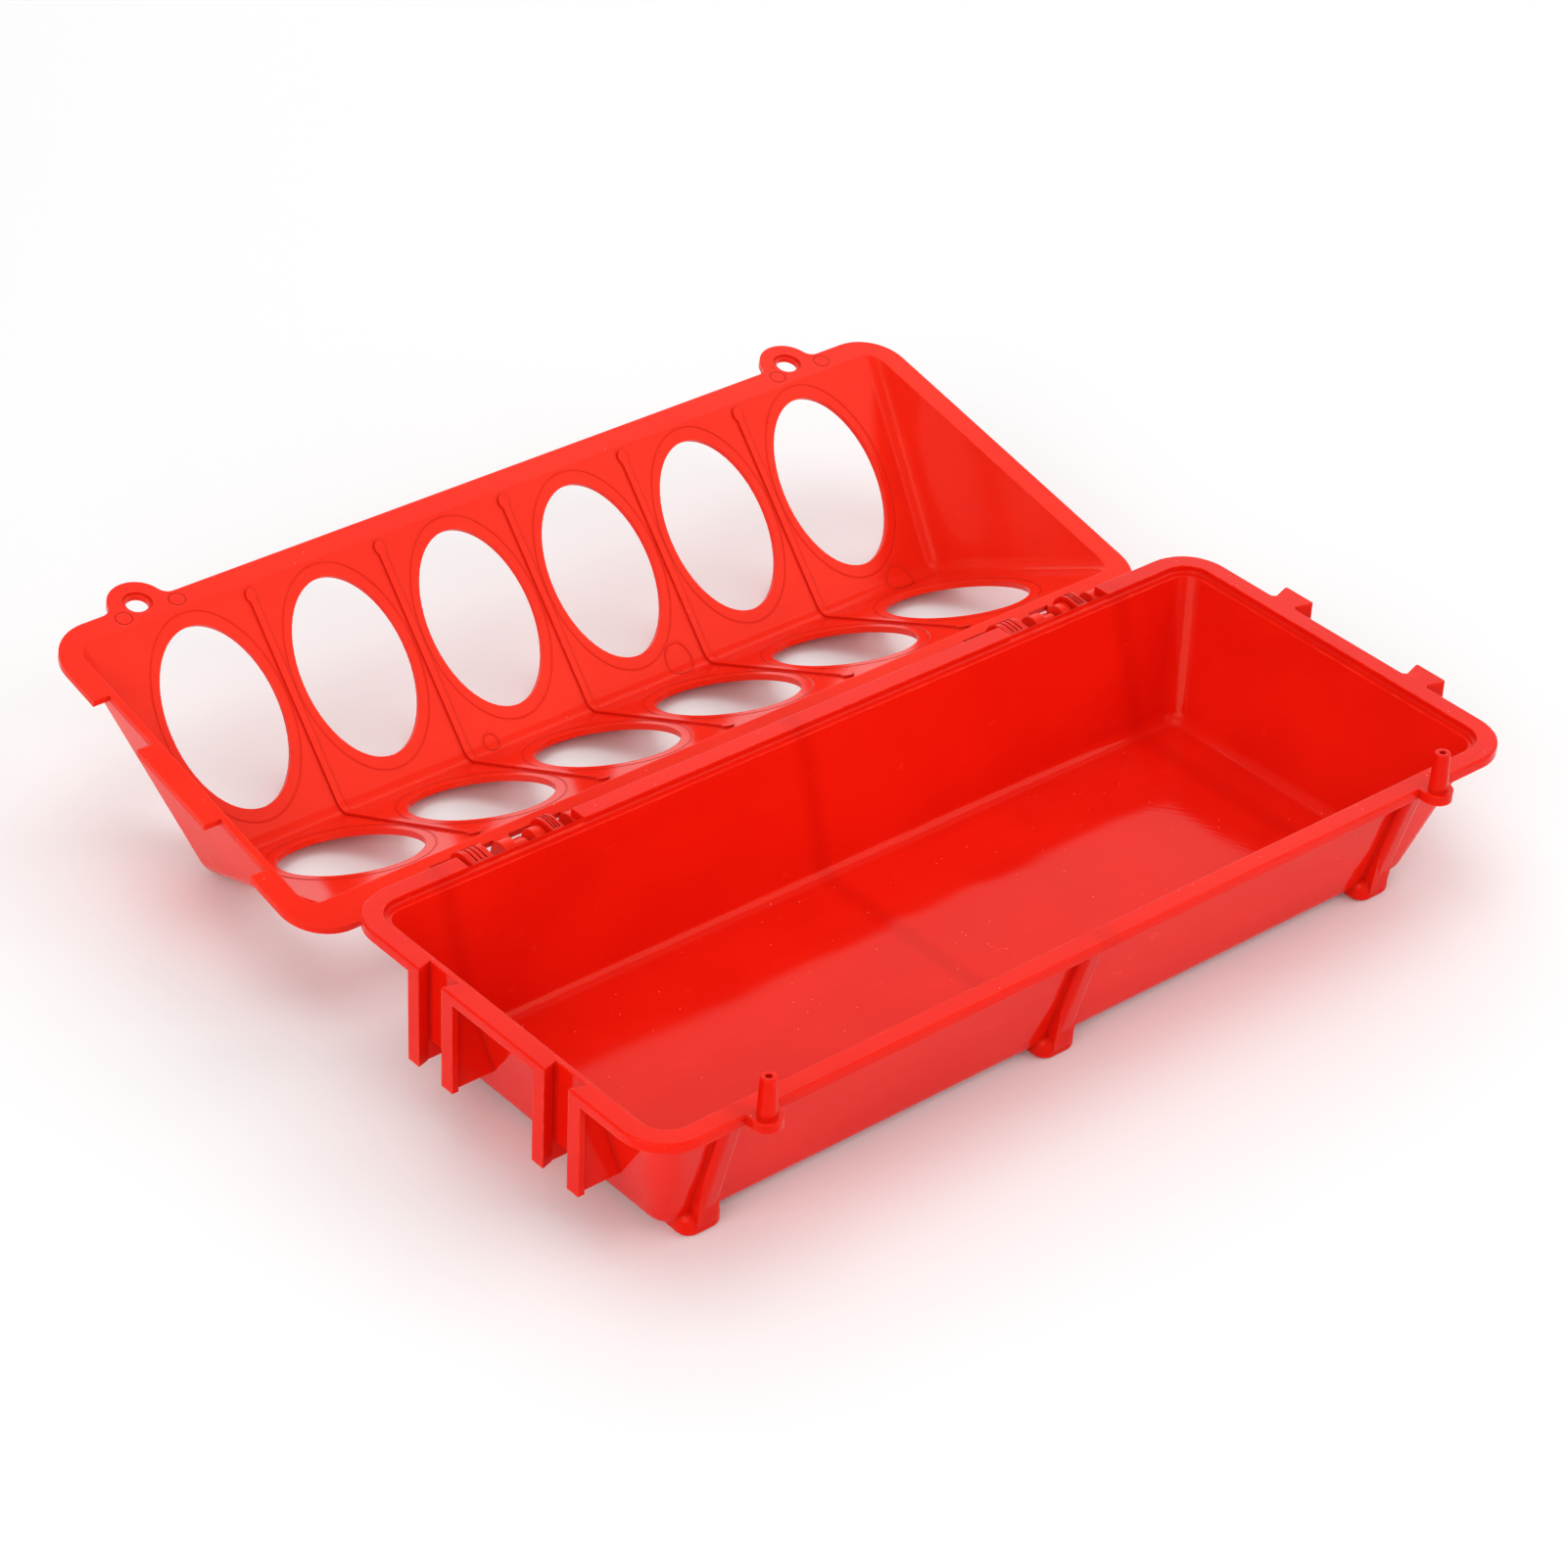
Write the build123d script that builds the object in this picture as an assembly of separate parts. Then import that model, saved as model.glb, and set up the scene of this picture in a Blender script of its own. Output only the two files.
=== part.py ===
from build123d import *
import math
import os

# Flip-top trough feeder: an open trough and a gable lid, each one injection moulding.
# Frame: X along the trough, Y from its front (-) to its hinge side (+), Z up, floor at z = 0.
# The lid is drawn in its closed place and then swung back to lie on its ridge behind the trough.

# ---- driving dimensions, mm -------------------------------------------------
LENGTH = 305.0
TROUGH_WIDTH = 130.5
RIM_TOP = 46.0
RIM_WIDTH = 5.8
RIM_THICK = 3.0
CORNER_R = 14.0
STEP_DEPTH = 2.2
LEDGE_WIDTH = 2.2
STEP_FILLET = 0.9
WALL = 1.9
FLOOR_INSIDE_Z = 3.7
FLOOR_INSET_X = 20.1
FLOOR_INSET_Y = 19.6
WALL_CORNER_R = 6.0
FLOOR_FILLET = 4.0
OUTSIDE_FLOOR_FILLET = 5.0
RIM_EDGE_R = 0.6

LID_GAP = 0.2
LID_THICK = 2.2
LID_FRONT_Y = -67.85
LID_REAR_Y = 63.65
LID_END_INSET = 7.0
GABLE_CENTRE_Y = -3.6
GABLE_HALF_RUN = 56.5
GABLE_RISE = 41.2
GABLE_WALL = 1.9
END_WALL_SLOPE = 14.8
RIDGE_FILLET = 5.0
GABLE_CORNER_FILLET = 4.5

HOLES_PER_PANEL = 6
HOLE_PITCH = 44.5
HOLE_HALF_LENGTH = 27.3
HOLE_HALF_WIDTH = 17.9
HOLE_FROM_FOLD = 32.5
GROOVE_OUT_SIDE = 2.3
GROOVE_OUT_END = 3.9
GROOVE_WIDTH = 0.5
GROOVE_DEPTH = 0.12
BEAD_WIDTH = 2.0
BEAD_HEIGHT = 0.7
BEAD_FOOT = 3.0
BEAD_DOT_R = 1.7
END_GAPS = ((14.3, 35.8), (-40.0, -18.5))
END_GAP_DEPTH = 5.0
EJECTOR_R = 2.6
EJECTOR_LINE = 0.35
EJECTOR_DEPTH = 0.2
EJECTOR_FROM_EAR = (-7.0, 10.6)
EJECTOR_FROM_EDGE = 3.6
# Ejector pin marks on the lid's ridge: x, y and radius.
RIDGE_MARKS = ((-35.9, -5.6, 2.6), (34.6, -7.0, 4.6), (119.9, -4.4, 4.6))

HINGE_Y = TROUGH_WIDTH / 2 + 4.9
HINGE_Z = RIM_TOP - 10.4
PIN_R = 2.4
PIN_CLEARANCE = 0.06
KNUCKLE_R = 5.8
ARM_R = 4.2
OPEN_ANGLE = 167.5
HINGE_GROUPS = (0.0, 191.5)
BRACKET_DROP = 13.0
BRACKET_ROOT = 4.0
CRADLE_WALL = 1.9
KNUCKLE_GROOVES = (0.28, 0.5, 0.72)
KNUCKLE_GROOVE_WIDTH = 0.5
KNUCKLE_GROOVE_DEPTH = 0.35

# Places along the left hinge group, measured from the trough's left end.
NOTCH_SPAN = (37.2, 75.3)
ARM_SPANS = ((40.0, 42.6), (55.6, 59.3), (65.7, 69.2), (78.2, 81.5))
KNUCKLE_SPANS = ((42.9, 50.0), (69.5, 73.3))
CRADLE_SPAN = (59.6, 65.3)
PIN_SPANS = ((42.6, 49.2), (59.3, 64.2), (69.2, 72.8))
FLANGE_CUTS = ((44.0, 54.9), (60.0, 65.0), (70.0, 77.5), (82.2, 88.0))
FLANGE_CUT_DEPTH = 7.4

PEG_X = (32.4, 269.6)
PEG_Y = -TROUGH_WIDTH / 2 - 2.5
PEG_BASE_R = 2.75
PEG_TIP_R = 2.2
PEG_TIP_FILLET = 0.5
PEG_HEIGHT = 11.7
PEG_BOSS_R = 4.3
PEG_DIMPLE_R = 1.0
PEG_DIMPLE_DEPTH = 1.4
EAR_HOLE_R = 3.3
EAR_R = 8.6
EAR_SWEEP_R = 3.5
EAR_STEP = 0.6
EAR_STEP_WIDTH = 1.0
# How far the ears and their holes sit forward of the pegs, for the swing of the lid.
EAR_OUT = 0.45

DOVETAIL_Y = (26.0, -26.0)
TAB_REACH = 6.6
TAB_NECK = 7.6
TAB_END = 11.4
TAB_DEPTH = 26.0
SLOT_DEPTH = 4.5
SLOT_MOUTH = 9.6
SLOT_BACK = 12.2
CHANNEL_WIDTH = 18.8
CHANNEL_BOTTOM_Z = 15.0
CHANNEL_BACK_BOTTOM_Z = 21.0
CHANNEL_LIP = 2.0
CHANNEL_WEB = 2.0

RIB_X = (28.5, 149.7, 270.0)
RIB_WIDTH = 6.5
RIB_PROUD = 3.2
RIB_FLANK_R = 2.0
FOOT_WIDTH = 13.0
FOOT_LENGTH = 15.0
FOOT_HEIGHT = 7.0
FOOT_CORNER_R = 4.0
FOOT_EDGE_R = 1.6
FOOT_TOP_R = 3.4

LEFT_X = -LENGTH / 2
RIGHT_X = LENGTH / 2
FRONT_Y = -TROUGH_WIDTH / 2
REAR_Y = TROUGH_WIDTH / 2


def along(distance):
    """X of a place measured from the left end."""
    return LEFT_X + distance


def block(x_span, y_span, z_span):
    """Box from three (low, high) spans."""
    size = [span[1] - span[0] for span in (x_span, y_span, z_span)]
    centre = [(span[1] + span[0]) / 2 for span in (x_span, y_span, z_span)]
    return Pos(*centre) * Box(*size)


def rounded_plate(x_size, y_size, radius, z_span, y_centre=0.0):
    """Flat plate with rounded corners."""
    sketch = Pos(0, y_centre, z_span[0]) * RectangleRounded(x_size, y_size, radius)
    return extrude(sketch, z_span[1] - z_span[0])


def yz_prism(points, x_span):
    """Prism along X over a polygon given as (y, z) points."""
    outline = Polyline(*[(x_span[0], y, z) for y, z in points], close=True)
    return extrude(make_face(outline), x_span[1] - x_span[0], dir=(1, 0, 0))


def xy_prism(points, z_span):
    """Prism along Z over a polygon given as (x, y) points."""
    outline = Polyline(*[(x, y, z_span[0]) for x, y in points], close=True)
    return extrude(make_face(outline), z_span[1] - z_span[0], dir=(0, 0, 1))


def x_rod(radius, x_span, y, z):
    """Cylinder along X."""
    length = x_span[1] - x_span[0]
    return Pos(x_span[0] + length / 2, y, z) * Rot(0, 90, 0) * Cylinder(radius, length)


def frustum(top_size, bottom_size, z_top, z_bottom):
    """Drafted block between two rectangles."""
    top = Pos(0, 0, z_top) * Rectangle(*top_size)
    bottom = Pos(0, 0, z_bottom) * Rectangle(*bottom_size)
    return loft([bottom.face(), top.face()], ruled=True)


def slanted_edges(solid):
    """Edges that are neither level nor square to X and Y: a frustum's four corners."""
    return [edge for edge in solid.edges() if abs((edge @ 1 - edge @ 0).Z) > 1.0]


# ---- trough -----------------------------------------------------------------
LEDGE_Z = RIM_TOP - STEP_DEPTH
LEDGE_INSET = RIM_WIDTH + LEDGE_WIDTH
DRAFT_RUN = LEDGE_Z - FLOOR_INSIDE_Z
DRAFT_X = (FLOOR_INSET_X - LEDGE_INSET) / DRAFT_RUN
DRAFT_Y = (FLOOR_INSET_Y - LEDGE_INSET) / DRAFT_RUN
# A wall's thickness measured level, which is a little more than square to its slope.
WALL_LEVEL = WALL * 1.05


def cavity_half(z, offset=0.0):
    """Half length and half width of the basin's inside at height z, grown by an offset."""
    depth = LEDGE_Z - z
    half_x = LENGTH / 2 - LEDGE_INSET - DRAFT_X * depth + offset
    half_y = TROUGH_WIDTH / 2 - LEDGE_INSET - DRAFT_Y * depth + offset
    return half_x, half_y


def drafted(z_top, z_bottom, offset, corner_radius, bottom_radius):
    """The basin's form, inside or outside, with rounded corners and floor."""
    top = [2 * half for half in cavity_half(z_top, offset)]
    bottom = [2 * half for half in cavity_half(z_bottom, offset)]
    form = frustum(top, bottom, z_top, z_bottom)
    form = fillet(slanted_edges(form), corner_radius)
    floor_edges = form.faces().sort_by(Axis.Z)[0].edges()
    return fillet(floor_edges, bottom_radius)


def basin():
    """Rim, stepped ledge and drafted basin."""
    floor_under = FLOOR_INSIDE_Z - WALL
    rim_under = RIM_TOP - RIM_THICK
    rim = rounded_plate(LENGTH, TROUGH_WIDTH, CORNER_R, (rim_under, RIM_TOP))
    rim = fillet(rim.faces().sort_by(Axis.Z)[-1].edges(), RIM_EDGE_R)
    outside = drafted(rim_under, floor_under, WALL_LEVEL, WALL_CORNER_R + WALL, OUTSIDE_FLOOR_FILLET)
    step = rounded_plate(
        LENGTH - 2 * RIM_WIDTH,
        TROUGH_WIDTH - 2 * RIM_WIDTH,
        CORNER_R - RIM_WIDTH,
        (LEDGE_Z, RIM_TOP + 1),
    )
    step = fillet(step.faces().sort_by(Axis.Z)[0].edges(), STEP_FILLET)
    inside = drafted(LEDGE_Z, FLOOR_INSIDE_Z, 0.0, WALL_CORNER_R, FLOOR_FILLET)
    return rim, outside, step, inside


def rib_profile():
    """Transverse rib seen along X: down the front wall, under the floor and up the rear wall."""
    top_z = RIM_TOP - RIM_THICK + 0.5
    heel_z = 9.0
    top_y = cavity_half(top_z, WALL)[1] + RIB_PROUD
    heel_y = cavity_half(heel_z, WALL)[1] + RIB_PROUD
    toe_y = heel_y - 3.0
    half = [(top_y, top_z), (heel_y, heel_z), (heel_y - 0.8, 3.0), (toe_y, 0.6), (toe_y - 2.0, 0.0)]
    return half + [(-y, z) for y, z in reversed(half)]


def ribs():
    """Three transverse ribs, each widening into a rounded foot at both toes."""
    made = []
    toe_y = cavity_half(FLOOR_INSIDE_Z, WALL)[1] + RIB_PROUD
    for place in RIB_X:
        x = along(place)
        rib = yz_prism(rib_profile(), (x - RIB_WIDTH / 2, x + RIB_WIDTH / 2))
        flanks = [edge for edge in rib.edges() if abs((edge @ 1 - edge @ 0).Z) > 20]
        made.append(fillet(flanks, RIB_FLANK_R))
        for side in (-1, 1):
            foot = Pos(x, side * (toe_y - FOOT_LENGTH / 2 + 0.5), FOOT_HEIGHT / 2)
            foot = foot * Box(FOOT_WIDTH, FOOT_LENGTH, FOOT_HEIGHT)
            foot = fillet(foot.edges().filter_by(Axis.Z), FOOT_CORNER_R)
            foot = fillet(foot.faces().sort_by(Axis.Z)[-1].edges(), FOOT_TOP_R)
            made.append(fillet(foot.faces().sort_by(Axis.Z)[0].edges(), FOOT_EDGE_R))
    return made


def channel(y):
    """Upright dovetail channel under the left rim: two lips, two webs and a back plate."""
    rim_under = RIM_TOP - RIM_THICK
    half = CHANNEL_WIDTH / 2
    web_half = SLOT_BACK / 2 + CHANNEL_WEB
    wall_x = along(FLOOR_INSET_X)
    lips = block((LEFT_X, LEFT_X + CHANNEL_LIP), (y - half, y + half), (CHANNEL_BOTTOM_Z, rim_under))
    webs = block((LEFT_X, wall_x), (y - web_half, y + web_half), (CHANNEL_BOTTOM_Z, rim_under))
    inner = block(
        (LEFT_X + SLOT_DEPTH + CHANNEL_WEB, wall_x + 1),
        (y - SLOT_BACK / 2, y + SLOT_BACK / 2),
        (CHANNEL_BOTTOM_Z - 1, rim_under),
    )
    below_back = block(
        (LEFT_X + SLOT_DEPTH - 1, LEFT_X + SLOT_DEPTH + CHANNEL_WEB + 0.1),
        (y - SLOT_BACK / 2, y + SLOT_BACK / 2),
        (CHANNEL_BOTTOM_Z - 1, CHANNEL_BACK_BOTTOM_Z),
    )
    return lips + (webs - inner - below_back)


def slot(y):
    """Dovetail slot cut down through the rim and the channel, open below."""
    points = [
        (LEFT_X - 1, y - SLOT_MOUTH / 2),
        (LEFT_X, y - SLOT_MOUTH / 2),
        (LEFT_X + SLOT_DEPTH, y - SLOT_BACK / 2),
        (LEFT_X + SLOT_DEPTH, y + SLOT_BACK / 2),
        (LEFT_X, y + SLOT_MOUTH / 2),
        (LEFT_X - 1, y + SLOT_MOUTH / 2),
    ]
    return xy_prism(points, (CHANNEL_BOTTOM_Z - 2, RIM_TOP + 1))


def tab(y):
    """Upright dovetail tab on the right end, with a web back to the end wall."""
    neck = RIGHT_X - 0.5
    points = [
        (neck, y - TAB_NECK / 2 - 1.2),
        (RIGHT_X, y - TAB_NECK / 2 - 0.6),
        (RIGHT_X + 0.8, y - TAB_NECK / 2),
        (RIGHT_X + TAB_REACH, y - TAB_END / 2),
        (RIGHT_X + TAB_REACH, y + TAB_END / 2),
        (RIGHT_X + 0.8, y + TAB_NECK / 2),
        (RIGHT_X, y + TAB_NECK / 2 + 0.6),
        (neck, y + TAB_NECK / 2 + 1.2),
    ]
    head = xy_prism(points, (RIM_TOP - TAB_DEPTH, RIM_TOP))
    outer = [edge for edge in head.edges().filter_by(Axis.Z) if edge.center().X > RIGHT_X + 4]
    head = fillet(outer, 0.6)
    web = block(
        (RIGHT_X - FLOOR_INSET_X, RIGHT_X - 0.2),
        (y - TAB_NECK / 2, y + TAB_NECK / 2),
        (RIM_TOP - TAB_DEPTH, RIM_TOP - RIM_THICK),
    )
    return head + web


def peg_boss(place):
    """Half-round boss on the front rim under a closing peg."""
    x = along(place)
    boss = Pos(x, PEG_Y, RIM_TOP - RIM_THICK / 2) * Cylinder(PEG_BOSS_R, RIM_THICK)
    x_span = (x - PEG_BOSS_R, x + PEG_BOSS_R)
    root = block(x_span, (PEG_Y, FRONT_Y + 1), (RIM_TOP - RIM_THICK, RIM_TOP))
    return boss + root


def peg(place):
    """Tapered closing peg with a small blind hole in its tip."""
    x = along(place)
    middle = RIM_TOP + PEG_HEIGHT / 2
    post = Pos(x, PEG_Y, middle) * Cone(PEG_BASE_R, PEG_TIP_R, PEG_HEIGHT)
    post = fillet(post.edges().sort_by(Axis.Z)[-1], PEG_TIP_FILLET)
    dimple = Pos(x, PEG_Y, RIM_TOP + PEG_HEIGHT) * Cylinder(PEG_DIMPLE_R, 2 * PEG_DIMPLE_DEPTH)
    return post - dimple


def knuckle(span):
    """Bored and grooved hinge knuckle on a bracket from the rear wall."""
    x_span = (along(span[0]), along(span[1]))
    body = x_rod(KNUCKLE_R, x_span, HINGE_Y, HINGE_Z)
    root_y = cavity_half(HINGE_Z, 0.6)[1]
    bracket = yz_prism(
        [
            (root_y, HINGE_Z + 4.2),
            (HINGE_Y, HINGE_Z + KNUCKLE_R),
            (HINGE_Y, HINGE_Z - KNUCKLE_R),
            (root_y - BRACKET_ROOT, HINGE_Z - BRACKET_DROP),
        ],
        x_span,
    )
    width = x_span[1] - x_span[0]
    made = body + bracket
    for share in KNUCKLE_GROOVES:
        middle = x_span[0] + width * share
        ring_span = (middle - KNUCKLE_GROOVE_WIDTH / 2, middle + KNUCKLE_GROOVE_WIDTH / 2)
        ring = x_rod(KNUCKLE_R + 1, ring_span, HINGE_Y, HINGE_Z)
        ring -= x_rod(KNUCKLE_R - KNUCKLE_GROOVE_DEPTH, ring_span, HINGE_Y, HINGE_Z)
        made -= ring
    return made


def cradle():
    """Open-topped half shell that the middle pin lies in."""
    x_span = (along(CRADLE_SPAN[0]), along(CRADLE_SPAN[1]))
    shell = x_rod(PIN_R + CRADLE_WALL, x_span, HINGE_Y, HINGE_Z)
    root_y = cavity_half(HINGE_Z, 0.6)[1]
    bracket = yz_prism(
        [
            (root_y, HINGE_Z + 1.0),
            (HINGE_Y - 2.0, HINGE_Z),
            (HINGE_Y, HINGE_Z - PIN_R - CRADLE_WALL),
            (root_y - BRACKET_ROOT, HINGE_Z - BRACKET_DROP),
        ],
        x_span,
    )
    open_top = block(x_span, (HINGE_Y - 9, HINGE_Y + 6), (HINGE_Z + 0.4, HINGE_Z + 9))
    return shell + bracket - open_top


def make_trough():
    rim, outside, step, inside = basin()
    body = rim + outside
    for rib in ribs():
        body += rib
    for y in DOVETAIL_Y:
        body += channel(y)
        body += tab(y)
    for place in PEG_X:
        body += peg_boss(place)
        body += peg(place)
    for shift in HINGE_GROUPS:
        move = Pos(shift, 0, 0)
        for span in KNUCKLE_SPANS:
            body += move * knuckle(span)
        body += move * cradle()
    body = body - step - inside
    for y in DOVETAIL_Y:
        body -= slot(y)
    for shift in HINGE_GROUPS:
        span = [along(x) + shift for x in NOTCH_SPAN]
        notch_y = (REAR_Y - RIM_WIDTH + 0.1, REAR_Y + 1)
        body -= block(span, notch_y, (RIM_TOP - RIM_THICK - 0.01, RIM_TOP + 1))
        body -= x_rod(PIN_R + PIN_CLEARANCE, span, HINGE_Y, HINGE_Z)
    return body


# ---- lid --------------------------------------------------------------------
MATING_Z = RIM_TOP + LID_GAP
SLOPE = math.atan2(GABLE_RISE, GABLE_HALF_RUN)
END_TAN = math.tan(math.radians(END_WALL_SLOPE))
LID_WIDTH = LID_REAR_Y - LID_FRONT_Y
LID_CENTRE_Y = (LID_REAR_Y + LID_FRONT_Y) / 2
TALL = 60.0
GROOVE_START = 0.6


def gable(offset, ridge_radius, corner_radius):
    """Gable form with sloping ends, grown by an offset normal to its panels."""
    rise = GABLE_RISE + offset / math.cos(SLOPE)
    drop = 6.0
    slope_run = rise / math.tan(SLOPE)
    low_run = slope_run + drop / math.tan(SLOPE)
    end = LENGTH / 2 - LID_END_INSET + offset * math.cos(math.atan(END_TAN))
    low_end = end + drop * END_TAN
    roof = yz_prism(
        [
            (GABLE_CENTRE_Y - low_run, MATING_Z - drop),
            (GABLE_CENTRE_Y + low_run, MATING_Z - drop),
            (GABLE_CENTRE_Y, MATING_Z + rise),
        ],
        (-low_end, low_end),
    )
    tilt = math.degrees(math.atan(END_TAN))
    for side in (-1, 1):
        reach = 50.0
        cutter = Pos(side * end, GABLE_CENTRE_Y, MATING_Z) * Rot(0, -side * tilt, 0)
        cutter = cutter * Pos(side * reach, 0, 0) * Box(2 * reach, 400, 400)
        roof -= cutter
    ridge = roof.edges().filter_by(Axis.X).sort_by(Axis.Z)[-1]
    roof = fillet(ridge, ridge_radius)
    corners = [
        edge
        for edge in roof.edges()
        if abs((edge @ 1 - edge @ 0).Z) > 8 and abs(edge.center().X) > LENGTH / 2 - 40
    ]
    roof = fillet(corners, corner_radius)
    return roof


def hole_cutter():
    """Oval feeding hole, square to its panel."""
    return extrude(Ellipse(HOLE_HALF_WIDTH, HOLE_HALF_LENGTH), 12, both=True)


def arm(span):
    """Hinge arm: out behind the rim and down to the hinge axis."""
    x_span = (along(span[0]), along(span[1]))
    top = MATING_Z + LID_THICK
    inner_y = HINGE_Y - ARM_R
    points = [
        (LID_REAR_Y - 2.0, MATING_Z),
        (inner_y, MATING_Z),
        (inner_y, HINGE_Z),
        (HINGE_Y + ARM_R, HINGE_Z),
        (HINGE_Y + ARM_R - 0.6, HINGE_Z + 5.0),
        (HINGE_Y, top),
        (LID_REAR_Y - 2.0, top),
    ]
    return yz_prism(points, x_span) + x_rod(ARM_R, x_span, HINGE_Y, HINGE_Z)


def flange_plate():
    """Flat lid flange with its two rounded ears and their swept corners."""
    z_span = (MATING_Z, MATING_Z + LID_THICK)
    plate = rounded_plate(LENGTH, LID_WIDTH, CORNER_R, z_span, LID_CENTRE_Y)
    for place in PEG_X:
        plate += Pos(along(place), PEG_Y - EAR_OUT, sum(z_span) / 2) * Cylinder(EAR_R, LID_THICK)
    corners = [
        edge
        for edge in plate.edges().filter_by(Axis.Z)
        if abs(edge.center().Y - LID_FRONT_Y) < 0.01 and abs(edge.center().X) < LENGTH / 2 - CORNER_R - 1
    ]
    return fillet(corners, EAR_SWEEP_R)


def panel_places():
    """Local frames on the two panels' inner faces, one for each feeding hole: x, then up the slope."""
    run = GABLE_HALF_RUN - HOLE_FROM_FOLD * math.cos(SLOPE)
    height = MATING_Z + HOLE_FROM_FOLD * math.sin(SLOPE)
    for side in (-1, 1):
        for index in range(HOLES_PER_PANEL):
            x = (index - (HOLES_PER_PANEL - 1) / 2) * HOLE_PITCH
            yield Pos(x, GABLE_CENTRE_Y + side * run, height) * Rot(-side * math.degrees(SLOPE), 0, 0)


def hole_groove():
    """Fine oval line moulded round each hole, on the panel's inner face."""
    half_width = HOLE_HALF_WIDTH + GROOVE_OUT_SIDE
    half_length = HOLE_HALF_LENGTH + GROOVE_OUT_END
    ring = Ellipse(half_width + GROOVE_WIDTH, half_length + GROOVE_WIDTH) - Ellipse(half_width, half_length)
    return Pos(0, 0, -GROOVE_START) * extrude(ring, GROOVE_START + GROOVE_DEPTH)


def inner_skin(height):
    """Thin layer on the gable's inner face, sunk a little into the wall so that what is cut from it joins."""
    sunk = 0.3
    skin = gable(sunk, RIDGE_FILLET + sunk, GABLE_CORNER_FILLET + sunk)
    return skin - gable(-height, RIDGE_FILLET - height, GABLE_CORNER_FILLET - height)


def ridge_marks():
    """Fine raised rings left by ejector pins along the ridge."""
    skin = inner_skin(EJECTOR_DEPTH)
    made = []
    for x, y, radius in RIDGE_MARKS:
        ring = Cylinder(radius, TALL) - Cylinder(radius - EJECTOR_LINE, TALL)
        made.append((Pos(x, y, MATING_Z + TALL / 2) * ring) & skin)
    return made


def panel_ribs():
    """Thin ribs up both panels and over the ridge, between the holes, with a dot at each foot."""
    made = []
    skin = inner_skin(BEAD_HEIGHT)
    reach = GABLE_HALF_RUN - BEAD_FOOT
    for index in range(HOLES_PER_PANEL - 1):
        x = (index - (HOLES_PER_PANEL - 2) / 2) * HOLE_PITCH
        bar = block(
            (x - BEAD_WIDTH / 2, x + BEAD_WIDTH / 2),
            (GABLE_CENTRE_Y - reach, GABLE_CENTRE_Y + reach),
            (MATING_Z, MATING_Z + TALL),
        )
        for side in (-1, 1):
            bar += Pos(x, GABLE_CENTRE_Y + side * reach, MATING_Z + TALL / 2) * Cylinder(BEAD_DOT_R, TALL)
        made.append(bar & skin)
    return made


def make_lid():
    top = MATING_Z + LID_THICK
    below = block((-200, 200), (-200, 200), (MATING_Z - 20, MATING_Z))
    outer = gable(GABLE_WALL, RIDGE_FILLET + GABLE_WALL, GABLE_CORNER_FILLET + GABLE_WALL)
    inner = gable(0.0, RIDGE_FILLET, GABLE_CORNER_FILLET)
    shell = flange_plate() + (outer - below)
    for shift in HINGE_GROUPS:
        move = Pos(shift, 0, 0)
        for low, high in FLANGE_CUTS:
            y_span = (LID_REAR_Y - FLANGE_CUT_DEPTH, LID_REAR_Y + 1)
            shell -= move * block((along(low), along(high)), y_span, (MATING_Z - 1, top + 0.6))
        for span in ARM_SPANS:
            shell += move * arm(span)
        for low, high in PIN_SPANS:
            shell += move * x_rod(PIN_R, (along(low), along(high)), HINGE_Y, HINGE_Z)
    for low, high in END_GAPS:
        gap = block((LEFT_X - 1, LEFT_X + END_GAP_DEPTH), (low, high), (MATING_Z - 1, top + 0.01))
        shell -= gap
    shell -= inner
    for detail in panel_ribs() + ridge_marks():
        shell += detail
    hole = hole_cutter()
    groove = hole_groove()
    for place in panel_places():
        shell -= place * groove
        shell -= place * hole
    mark = Cylinder(EJECTOR_R, 2 * EJECTOR_DEPTH) - Cylinder(EJECTOR_R - EJECTOR_LINE, 2 * EJECTOR_DEPTH)
    for place in PEG_X:
        ear_centre = Pos(along(place), PEG_Y - EAR_OUT, MATING_Z)
        shell -= ear_centre * Cylinder(EAR_HOLE_R, TALL)
        shell -= ear_centre * Cylinder(EAR_HOLE_R + EAR_STEP_WIDTH, 2 * EAR_STEP)
        for shift in EJECTOR_FROM_EAR:
            shell -= Pos(along(place) + shift, LID_FRONT_Y + EJECTOR_FROM_EDGE, MATING_Z) * mark
    return shell


def swing_open(part):
    """Turn a closed-place part about the hinge axis into the open place."""
    axis = Axis((0, HINGE_Y, HINGE_Z), (1, 0, 0))
    return part.rotate(axis, -OPEN_ANGLE)


os.makedirs("parts", exist_ok=True)
trough = make_trough()
lid_closed = make_lid()
lid = swing_open(lid_closed)
print("trough", trough.bounding_box(), len(trough.solids()), trough.volume)
print("lid", lid.bounding_box(), len(lid.solids()), lid.volume)
export_step(trough, "parts/trough.step")
export_step(lid, "parts/lid.step")
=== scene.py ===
import math

import bpy
from mathutils import Matrix, Vector

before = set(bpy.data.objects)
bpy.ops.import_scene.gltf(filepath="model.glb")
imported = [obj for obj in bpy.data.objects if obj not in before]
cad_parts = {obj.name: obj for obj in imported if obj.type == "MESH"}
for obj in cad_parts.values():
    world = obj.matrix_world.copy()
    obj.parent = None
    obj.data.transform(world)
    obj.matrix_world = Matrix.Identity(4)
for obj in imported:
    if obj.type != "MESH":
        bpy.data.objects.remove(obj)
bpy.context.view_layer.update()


# ---- camera -----------------------------------------------------------------
CAMERA_AZIMUTH = math.radians(-41.54)
CAMERA_ELEVATION = math.radians(33.78)
CAMERA_ROLL = math.radians(2.74)
CAMERA_PLACE = (-0.6973, -0.7196, 0.7249)
LENS_MM = 104.2
SENSOR_MM = 36.0


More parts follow.
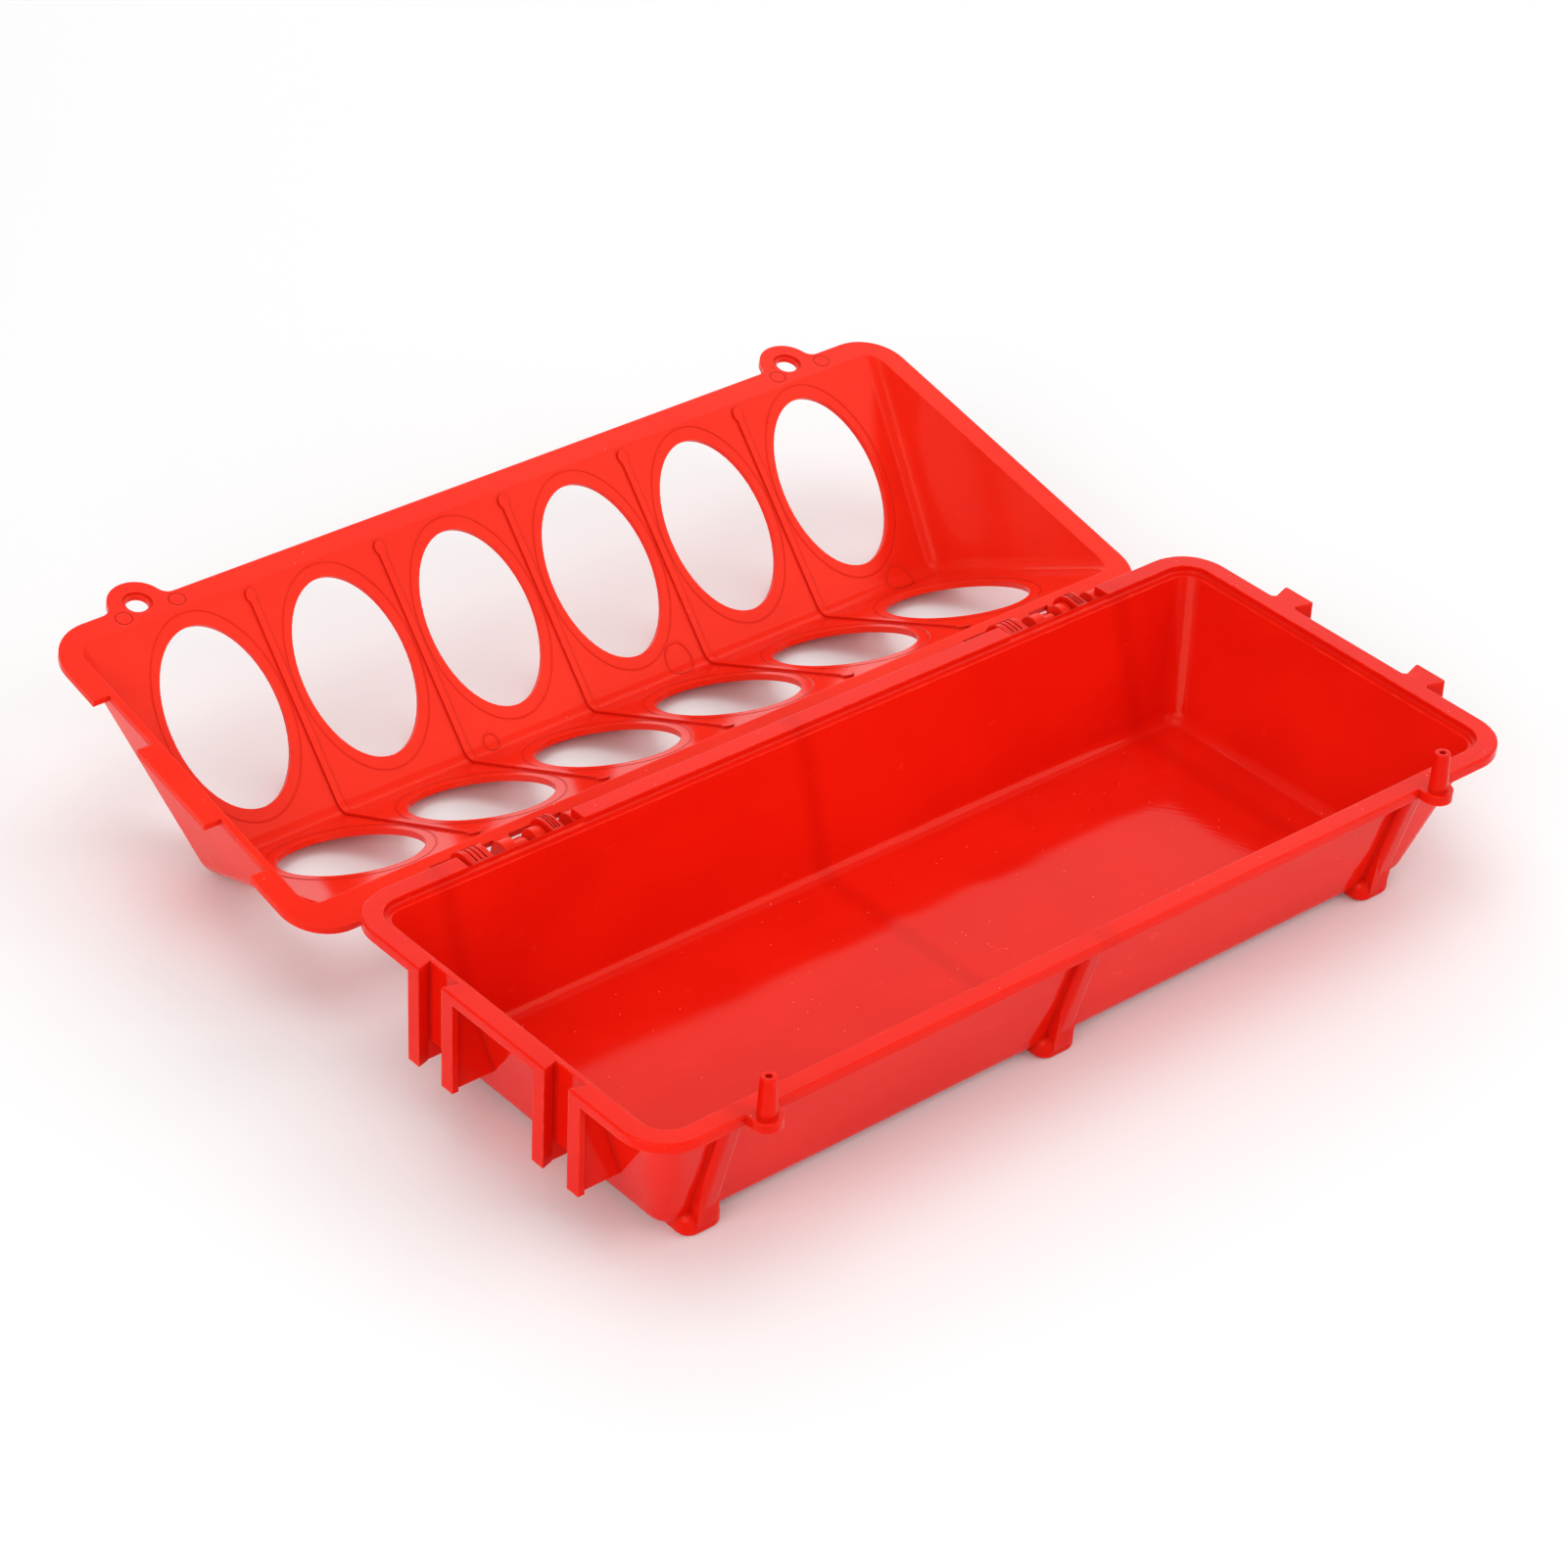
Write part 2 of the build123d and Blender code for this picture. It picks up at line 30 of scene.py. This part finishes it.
def make_camera():
    """Camera at the studio's viewing angle, by azimuth, elevation and roll."""
    azimuth, elevation, roll = CAMERA_AZIMUTH, CAMERA_ELEVATION, CAMERA_ROLL
    back = Vector((
        math.sin(azimuth) * math.cos(elevation),
        -math.cos(azimuth) * math.cos(elevation),
        math.sin(elevation),
    ))
    level = Vector((math.cos(azimuth), math.sin(azimuth), 0.0))
    upright = back.cross(level)
    right = level * math.cos(roll) + upright * math.sin(roll)
    up = upright * math.cos(roll) - level * math.sin(roll)
    turn = Matrix((right, up, back)).transposed().to_4x4()
    data = bpy.data.cameras.new("studio_camera")
    data.lens = LENS_MM
    data.sensor_width = SENSOR_MM
    data.clip_start, data.clip_end = 0.05, 30.0
    camera = bpy.data.objects.new("studio_camera", data)
    camera.matrix_world = Matrix.Translation(CAMERA_PLACE) @ turn
    bpy.context.scene.collection.objects.link(camera)
    bpy.context.scene.camera = camera


# ---- node helpers -----------------------------------------------------------
class Graph:
    """Small helper that adds and links shader nodes."""

    def __init__(self, tree):
        self.tree = tree
        self.tree.nodes.clear()

    def add(self, kind, settings=None, **inputs):
        node = self.tree.nodes.new(kind)
        for name, value in (settings or {}).items():
            setattr(node, name, value)
        for name, value in inputs.items():
            self.put(node, name.replace("_", " "), value)
        return node

    def put(self, node, name, value):
        socket = node.inputs[int(name)] if name.isdigit() else node.inputs[name]
        if isinstance(value, bpy.types.NodeSocket):
            self.tree.links.new(value, socket)
        else:
            socket.default_value = value

    def math(self, operation, first, second=0.0, third=0.0, clamp=False):
        node = self.tree.nodes.new("ShaderNodeMath")
        node.operation = operation
        node.use_clamp = clamp
        for index, value in enumerate((first, second, third)):
            self.put(node, str(index), value)
        return node.outputs[0]

    def span(self, value, low, high, to_low=0.0, to_high=1.0):
        """Value moved from one range to another, smoothly and clamped."""
        node = self.tree.nodes.new("ShaderNodeMapRange")
        node.interpolation_type = "SMOOTHSTEP"
        for index, item in enumerate((value, low, high, to_low, to_high)):
            self.put(node, str(index), item)
        return node.outputs[0]

    def mix(self, share, first, second, blend="MIX"):
        node = self.tree.nodes.new("ShaderNodeMix")
        node.data_type = "RGBA"
        node.blend_type = blend
        self.put(node, "0", share)
        self.put(node, "6", first)
        self.put(node, "7", second)
        return node.outputs[2]

    def noise(self, place, scale, detail=2.0, rough=0.5, distort=0.0):
        inputs = {"Scale": scale, "Detail": detail, "Roughness": rough, "Distortion": distort}
        return self.add("ShaderNodeTexNoise", Vector=place, **inputs).outputs["Fac"]

    def stretched(self, place, scale, turn=(0.0, 0.0, 0.0), shift=(0.0, 0.0, 0.0)):
        node = self.add("ShaderNodeMapping", Vector=place, Scale=scale, Rotation=turn, Location=shift)
        return node.outputs["Vector"]


# ---- moulded plastic --------------------------------------------------------
TROUGH_REDS = ((0.68, 0.0062, 0.0018, 1.0), (0.77, 0.0095, 0.0028, 1.0))
LID_REDS = ((0.76, 0.0150, 0.0050, 1.0), (0.85, 0.0230, 0.0085, 1.0))
# Painted shade: darker red laid into the sink lines and the crevices.
RED_PAINTED_SHADE = (0.56, 0.0040, 0.0010, 1.0)
# Lighter red for the scratches, and for the painted highlight along edges.
RED_SCRATCH_AND_HIGHLIGHT = (0.90, 0.036, 0.014, 1.0)
DUST = (0.95, 0.62, 0.52, 1.0)
REFLECTION_TINT = (1.0, 0.78, 0.55, 1.0)

# Noise scales, per metre, and how the colour follows them.
FLOW_STRETCH = (9, 26, 26)
CLOUD_SCALE = 22.0
GRAIN_SCALE = 1500.0
SINK_SCALE = 38.0
EDGE_PATCH_SCALE = 240.0
CLOUD_SHARE = 0.45
FLOW_SHARE = 0.55
TONE_SPAN = (0.30, 0.70)
# Share of painted shade along the sink lines over the ribs.
RIB_SHADE_TINT = 0.40
MARK_TINT = 0.35
DUST_TINT = 0.5

# Painted edge highlight: colour lightened where the bevelled normal departs from the true one, broken up
# by patches.
NODE_SAMPLES = 6
HIGHLIGHT_BEVEL = 0.0011
SOFT_BEVEL = 0.00045
EDGE_DOT = (0.995, 0.86)
EDGE_PATCH = (0.40, 0.72, 0.15, 0.75)

# Painted crevice shade: how far the occlusion test reaches and how much the shade darkens.
CREVICE_REACH = 0.0014
CREVICE_SPAN = (0.97, 0.60)
CREVICE_SHADE_TINT = 0.75

# Hairlines: turn, scale, thinness and the share left bare.
LONG_MARKS = ((0.0, 0.0, 0.35), 230.0, 0.007, 0.64)
CROSS_MARKS = ((0.3, 0.2, 1.9), 260.0, 0.006, 0.66)

# Dust: scale and size of the fine and the coarse specks, their shares, and how level a face must be.
FINE_SPECKS = (420.0, 0.085)
COARSE_SPECKS = (120.0, 0.022)
FINE_SHARE = 0.8
COARSE_SHARE = 0.05
LEVEL_SPAN = (0.55, 0.9)

# What each layer adds to the roughness.
FLOW_SPAN = (0.25, 0.75)
GRAIN_SPAN = (0.3, 0.7)
FLOW_ROUGH = 0.05
GRAIN_ROUGH = 0.03
EDGE_ROUGH = 0.10
MARK_ROUGH = 0.15
DUST_ROUGH = 0.5

# What each layer adds to the bump height, in metres.
SINK_HEIGHT = 0.00042
RIB_HEIGHT = -0.00009
ARC_HEIGHT = 0.0000035
GRAIN_HEIGHT = 0.0000035
MARK_HEIGHT = -0.000006
DUST_HEIGHT = 0.00004
ARC_PITCH = 0.0021
BUMP_STRENGTH = 0.55

# Settings that are the same all over, on the shader's own sockets.
SHADER_SETTINGS = (
    ("IOR", 1.49),
    ("Specular IOR Level", 0.13),
    ("Specular Tint", REFLECTION_TINT),
    ("Subsurface Weight", 0.10),
    ("Subsurface Radius", (1.0, 0.12, 0.06)),
    ("Subsurface Scale", 0.004),
)


def scratches(graph, place, turn, scale, thin, share):
    """Sparse hairlines: thin level lines of a long stretched noise, broken up by a second noise."""
    along = graph.stretched(place, (scale * 0.06, scale, scale * 0.35), turn)
    wave = graph.noise(along, 1.0, 3.0, 0.55)
    line = graph.math("SUBTRACT", 1.0, graph.math("ABSOLUTE", graph.math("SUBTRACT", wave, 0.5)))
    line = graph.span(line, 1.0 - thin, 1.0)
    patch = graph.noise(place, scale * 0.45, 1.0)
    return graph.math("MULTIPLY", line, graph.span(patch, share, share + 0.06))


def specks(graph, place, scale, size, share):
    """Small round specks in a share of a Voronoi pattern's cells."""
    cells = graph.add("ShaderNodeTexVoronoi", Vector=place, Scale=scale, Randomness=1.0)
    lottery = graph.add("ShaderNodeSeparateColor", Color=cells.outputs["Color"]).outputs[0]
    chosen = graph.math("LESS_THAN", lottery, share)
    near = graph.span(cells.outputs["Distance"], size, size * 0.4)
    return graph.math("MULTIPLY", near, chosen)


def sink_lines(graph, place, centres, half_width):
    """Shallow sink marks across X, one over each outside rib."""
    across = graph.add("ShaderNodeSeparateXYZ", Vector=place).outputs[0]
    total = 0.0
    for centre in centres:
        off = graph.math("ABSOLUTE", graph.math("SUBTRACT", across, centre))
        total = graph.math("ADD", graph.span(off, half_width, 0.0), total)
    return total


def tool_arcs(graph, place, centre, pitch):
    """Faint rings left by the mould maker's cutter, broken into arcs."""
    ring = graph.add("ShaderNodeVectorMath", {"operation": "DISTANCE"})
    graph.put(ring, "0", place)
    graph.put(ring, "1", centre)
    wave = graph.math("SINE", graph.math("MULTIPLY", ring.outputs["Value"], 2 * math.pi / pitch))
    return graph.math("MULTIPLY", wave, graph.span(graph.noise(place, 16.0, 2.0), 0.45, 0.62))


def plastic(name, reds, gloss, dust_share, seed, sinks, sink_half, arc_centre):
    """Glossy injection-moulded red plastic: flow shading, sink waves with painted shade along the sink
    lines, hairlines, painted edge highlights, painted crevice shade and dust.
    """
    material = bpy.data.materials.new(name)
    material.use_nodes = True
    graph = Graph(material.node_tree)
    coords = graph.add("ShaderNodeTexCoord")
    place = graph.stretched(coords.outputs["Object"], (1, 1, 1), shift=(seed, seed * 0.7, seed * 0.3))
    facing = graph.add("ShaderNodeSeparateXYZ", Vector=coords.outputs["Normal"]).outputs[2]

    flow = graph.noise(graph.stretched(place, FLOW_STRETCH), 1.0, 3.0, 0.55, 0.6)
    clouds = graph.noise(place, CLOUD_SCALE, 2.0)
    grain = graph.noise(place, GRAIN_SCALE, 2.0)
    tone = graph.math("MULTIPLY_ADD", clouds, CLOUD_SHARE, graph.math("MULTIPLY", flow, FLOW_SHARE))
    colour = graph.mix(graph.span(tone, *TONE_SPAN), reds[0], reds[1])
    ribs = sink_lines(graph, coords.outputs["Object"], sinks, sink_half)
    # Painted shade: the colour darkens along the sink lines over the ribs.
    colour = graph.mix(graph.math("MULTIPLY", ribs, RIB_SHADE_TINT), colour, RED_PAINTED_SHADE)

    rounded = graph.add("ShaderNodeBevel", {"samples": NODE_SAMPLES}, Radius=HIGHLIGHT_BEVEL).outputs[0]
    true_normal = graph.add("ShaderNodeNewGeometry").outputs["Normal"]
    bend = graph.add("ShaderNodeVectorMath", {"operation": "DOT_PRODUCT"})
    graph.put(bend, "0", rounded)
    graph.put(bend, "1", true_normal)
    edge = graph.span(bend.outputs["Value"], *EDGE_DOT)
    patches = graph.span(graph.noise(place, EDGE_PATCH_SCALE, 3.0), *EDGE_PATCH)
    edge_highlight = graph.math("MULTIPLY", edge, patches)
    # Painted highlight: the colour lightens along convex and concave edges, in patches.
    colour = graph.mix(edge_highlight, colour, RED_SCRATCH_AND_HIGHLIGHT)

    nearby = {"samples": NODE_SAMPLES, "only_local": True}
    # Painted shade: ambient occlusion darkens the colour in crevices.
    hollow = graph.add("ShaderNodeAmbientOcclusion", nearby, Distance=CREVICE_REACH)
    crevice_shade = graph.span(hollow.outputs["AO"], *CREVICE_SPAN)
    colour = graph.mix(graph.math("MULTIPLY", crevice_shade, CREVICE_SHADE_TINT), colour, RED_PAINTED_SHADE)

    long_marks = scratches(graph, place, *LONG_MARKS)
    cross_marks = scratches(graph, place, *CROSS_MARKS)
    marks = graph.math("MAXIMUM", long_marks, cross_marks)
    colour = graph.mix(graph.math("MULTIPLY", marks, MARK_TINT), colour, RED_SCRATCH_AND_HIGHLIGHT)

    level = graph.span(facing, *LEVEL_SPAN)
    fine = specks(graph, place, *FINE_SPECKS, dust_share * FINE_SHARE)
    coarse = specks(graph, place, *COARSE_SPECKS, COARSE_SHARE)
    dust = graph.math("MULTIPLY", graph.math("MAXIMUM", fine, coarse), level)
    dust = graph.math("MULTIPLY", dust, DUST_TINT)
    colour = graph.mix(dust, colour, DUST)

    rough = graph.math("MULTIPLY_ADD", graph.span(flow, *FLOW_SPAN), FLOW_ROUGH, gloss)
    rough = graph.math("MULTIPLY_ADD", graph.span(grain, *GRAIN_SPAN), GRAIN_ROUGH, rough)
    rough = graph.math("MULTIPLY_ADD", edge_highlight, EDGE_ROUGH, rough)
    rough = graph.math("MULTIPLY_ADD", marks, MARK_ROUGH, rough)
    rough = graph.math("MULTIPLY_ADD", dust, DUST_ROUGH, rough, clamp=True)

    soft_edge = graph.add("ShaderNodeBevel", {"samples": NODE_SAMPLES}, Radius=SOFT_BEVEL).outputs[0]
    arcs = tool_arcs(graph, coords.outputs["Object"], arc_centre, ARC_PITCH)
    height = graph.math("MULTIPLY", graph.noise(place, SINK_SCALE, 1.0), SINK_HEIGHT)
    layers = (
        (ribs, RIB_HEIGHT),
        (arcs, ARC_HEIGHT),
        (grain, GRAIN_HEIGHT),
        (marks, MARK_HEIGHT),
        (dust, DUST_HEIGHT),
    )
    for layer, layer_height in layers:
        height = graph.math("MULTIPLY_ADD", layer, layer_height, height)
    bump_inputs = {"Strength": BUMP_STRENGTH, "Distance": 1.0, "Height": height, "Normal": soft_edge}
    bump = graph.add("ShaderNodeBump", **bump_inputs)

    shader = graph.add("ShaderNodeBsdfPrincipled")
    graph.put(shader, "Base Color", colour)
    graph.put(shader, "Roughness", rough)
    graph.put(shader, "Normal", bump.outputs[0])
    for socket_name, value in SHADER_SETTINGS:
        graph.put(shader, socket_name, value)
    out = graph.add("ShaderNodeOutputMaterial")
    graph.tree.links.new(shader.outputs[0], out.inputs["Surface"])
    return material


def dress(node, material):
    """Gives a CAD node its material."""
    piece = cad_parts[node]
    if not piece.material_slots:
        piece.data.materials.append(material)
    for slot in piece.material_slots:
        slot.material = material


# ---- studio -----------------------------------------------------------------
FLOOR_RADIUS = 1.2
FLOOR_SIDES = 96
FLOOR_GREY = (0.82, 0.82, 0.82, 1.0)
FLOOR_ROUGH = 0.75
FLOOR_SHINE = 0.2
HORIZON_LIGHT = 0.95
SKY_LIGHT = 0.55
# Height of the view direction over which the world fades from horizon to sky.
FADE_SPAN = (0.02, 0.30)
AIM = Vector((0.0, 0.05, 0.03))
# name, direction from the object, distance, size, radiance
SOFT_BOXES = (
    ("top_box", (-0.10, 0.05, 1.0), 1.4, (1.1, 1.1), 1.5),
    ("front_right_box", (0.55, -0.63, 0.54), 1.3, (1.1, 0.9), 2.0),
    ("front_left_box", (-0.85, -0.42, 0.42), 1.3, (1.1, 0.9), 2.6),
    ("back_box", (0.50, 0.66, 0.50), 1.4, (1.9, 1.1), 1.1),
)


def make_floor():
    material = bpy.data.materials.new("studio_floor")
    material.use_nodes = True
    shader = material.node_tree.nodes["Principled BSDF"]
    shader.inputs["Base Color"].default_value = FLOOR_GREY
    shader.inputs["Roughness"].default_value = FLOOR_ROUGH
    shader.inputs["Specular IOR Level"].default_value = FLOOR_SHINE
    mesh = bpy.data.meshes.new("studio_floor")
    turns = [2 * math.pi * side / FLOOR_SIDES for side in range(FLOOR_SIDES)]
    edge = [(FLOOR_RADIUS * math.cos(turn), FLOOR_RADIUS * math.sin(turn), 0) for turn in turns]
    mesh.from_pydata(edge, [], [tuple(range(FLOOR_SIDES))])
    mesh.materials.append(material)
    floor = bpy.data.objects.new("studio_floor", mesh)
    bpy.context.scene.collection.objects.link(floor)


def soft_box(name, direction, distance, size, radiance):
    """Rectangular area light aimed at the object; its power follows from its area and radiance."""
    data = bpy.data.lights.new(name, "AREA")
    data.shape = "RECTANGLE"
    data.size, data.size_y = size
    data.energy = math.pi * size[0] * size[1] * radiance
    light = bpy.data.objects.new(name, data)
    place = AIM + Vector(direction).normalized() * distance
    light.location = place
    light.rotation_mode = "QUATERNION"
    light.rotation_quaternion = (AIM - place).to_track_quat("-Z", "Y")
    bpy.context.scene.collection.objects.link(light)


def make_light():
    world = bpy.data.worlds.new("studio_world")
    world.use_nodes = True
    graph = Graph(world.node_tree)
    sky = graph.add("ShaderNodeTexCoord").outputs["Generated"]
    rise = graph.add("ShaderNodeSeparateXYZ", Vector=sky).outputs[2]
    background = graph.add("ShaderNodeBackground", Color=(1.0, 1.0, 1.0, 1.0))
    graph.put(background, "Strength", graph.span(rise, *FADE_SPAN, HORIZON_LIGHT, SKY_LIGHT))
    out = graph.add("ShaderNodeOutputWorld")
    graph.tree.links.new(background.outputs[0], out.inputs["Surface"])
    bpy.context.scene.world = world
    for box in SOFT_BOXES:
        soft_box(*box)
    scene = bpy.context.scene
    scene.view_settings.view_transform = "Standard"
    scene.view_settings.look = "None"


# X of the three ribs under the trough, whose sink marks show inside it.
TROUGH_RIBS = (-0.1240, -0.0028, 0.1175)
TROUGH_RIB_HALF = 0.0055
TROUGH_ARCS = (0.02, -0.05, 0.0)
TROUGH_LOOK = (TROUGH_REDS, 0.06, 0.30, 0.0, TROUGH_RIBS, TROUGH_RIB_HALF, TROUGH_ARCS)
# The lid has no sink marks, so its rib half width is never used.
LID_ARCS = (0.05, 0.32, 0.12)
LID_LOOK = (LID_REDS, 0.12, 0.12, 3.1, (), 0.0, LID_ARCS)

make_camera()
dress("trough", plastic("red_gloss_trough", *TROUGH_LOOK))
dress("lid", plastic("red_gloss_lid", *LID_LOOK))
make_floor()
make_light()
